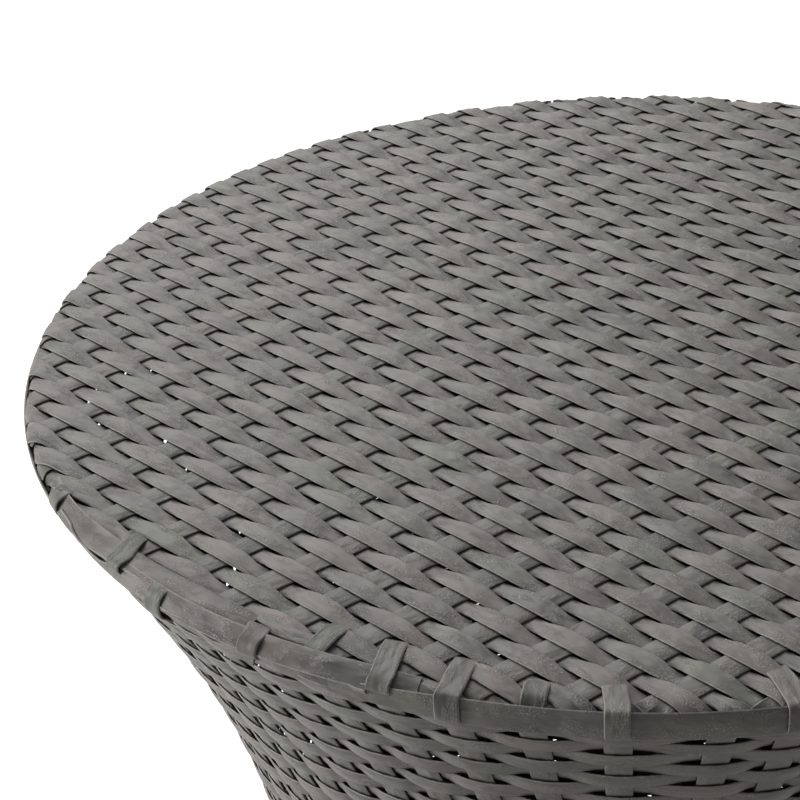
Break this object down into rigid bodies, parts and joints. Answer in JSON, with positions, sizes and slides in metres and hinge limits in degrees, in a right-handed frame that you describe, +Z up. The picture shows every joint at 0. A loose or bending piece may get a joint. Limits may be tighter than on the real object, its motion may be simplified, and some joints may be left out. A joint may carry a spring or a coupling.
{
  "type": "outdoor side table",
  "caption": "Round hourglass patio side table: flat synthetic strands woven over a bent steel frame, with screw-in levelling feet.",
  "frame": {"origin": "on the floor below the middle of the round top", "axes": "+Z up; -Y towards the side that the picture is taken from; +X to its right"},
  "size_m": [0.4616, 0.4617, 0.5517],
  "materials": {
    "frame": "satin powder coat, dark grey",
    "strand": "flat resin strand, mottled grey, satin",
    "strand_shade": "flat resin strand, darker grey, satin",
    "steel": "bright zinc",
    "foot": "black moulded plastic, fine texture"
  },
  "bodies": {
    "table": {"top_ring": "frame", "cross_bar_long": "frame", "cross_bar_front": "frame", "cross_bar_back": "frame", "upright_1": "frame", "upright_2": "frame", "upright_3": "frame", "upright_4": "frame", "upright_5": "frame", "upright_6": "frame", "upright_7": "frame", "upright_8": "frame", "upper_hoop": "frame", "waist_hoop": "frame", "lower_hoop": "frame", "base_ring": "frame", "side_weavers_1": "strand", "side_weavers_2": "strand", "side_weavers_3": "strand", "side_weavers_4": "strand", "side_weavers_5": "strand", "top_weavers": "strand", "rim_band": "strand", "rim_loops": "strand", "foot_band": "strand", "foot_wraps": "strand", "side_stakes": "strand_shade", "top_stakes": "strand_shade", "strand_tails": "strand_shade", "glide_insert_1": "steel", "glide_insert_2": "steel", "glide_insert_3": "steel", "glide_insert_4": "steel"},
    "glide_stud_1": {"glide_stud_1": "steel"},
    "glide_stud_2": {"glide_stud_2": "steel"},
    "glide_stud_3": {"glide_stud_3": "steel"},
    "glide_stud_4": {"glide_stud_4": "steel"},
    "glide_foot_1": {"glide_foot_1": "foot"},
    "glide_foot_2": {"glide_foot_2": "foot"},
    "glide_foot_3": {"glide_foot_3": "foot"},
    "glide_foot_4": {"glide_foot_4": "foot"}
  },
  "joints": [
    {"name": "glide_travel_1", "type": "slide", "parent": "table", "child": "glide_stud_1", "axis": [0, 0, -1], "range_m": [0, 0.005]},
    {"name": "glide_turn_1", "type": "hinge", "parent": "glide_stud_1", "child": "glide_foot_1", "pos_m": [0.14756, 0.14756, 0], "axis": [0, 0, -1], "range_deg": [0, 1440]},
    {"name": "glide_travel_2", "type": "slide", "parent": "table", "child": "glide_stud_2", "axis": [0, 0, -1], "range_m": [0, 0.005]},
    {"name": "glide_turn_2", "type": "hinge", "parent": "glide_stud_2", "child": "glide_foot_2", "pos_m": [-0.14756, 0.14756, 0], "axis": [0, 0, -1], "range_deg": [0, 1440]},
    {"name": "glide_travel_3", "type": "slide", "parent": "table", "child": "glide_stud_3", "axis": [0, 0, -1], "range_m": [0, 0.005]},
    {"name": "glide_turn_3", "type": "hinge", "parent": "glide_stud_3", "child": "glide_foot_3", "pos_m": [-0.14756, -0.14756, 0], "axis": [0, 0, -1], "range_deg": [0, 1440]},
    {"name": "glide_travel_4", "type": "slide", "parent": "table", "child": "glide_stud_4", "axis": [0, 0, -1], "range_m": [0, 0.005]},
    {"name": "glide_turn_4", "type": "hinge", "parent": "glide_stud_4", "child": "glide_foot_4", "pos_m": [0.14756, -0.14756, 0], "axis": [0, 0, -1], "range_deg": [0, 1440]}
  ],
  "couplings": [
    {"joint": "glide_turn_1", "follows": "glide_travel_1", "rad_per_m": 5026.5},
    {"joint": "glide_turn_2", "follows": "glide_travel_2", "rad_per_m": 5026.5},
    {"joint": "glide_turn_3", "follows": "glide_travel_3", "rad_per_m": 5026.5},
    {"joint": "glide_turn_4", "follows": "glide_travel_4", "rad_per_m": 5026.5}
  ]
}
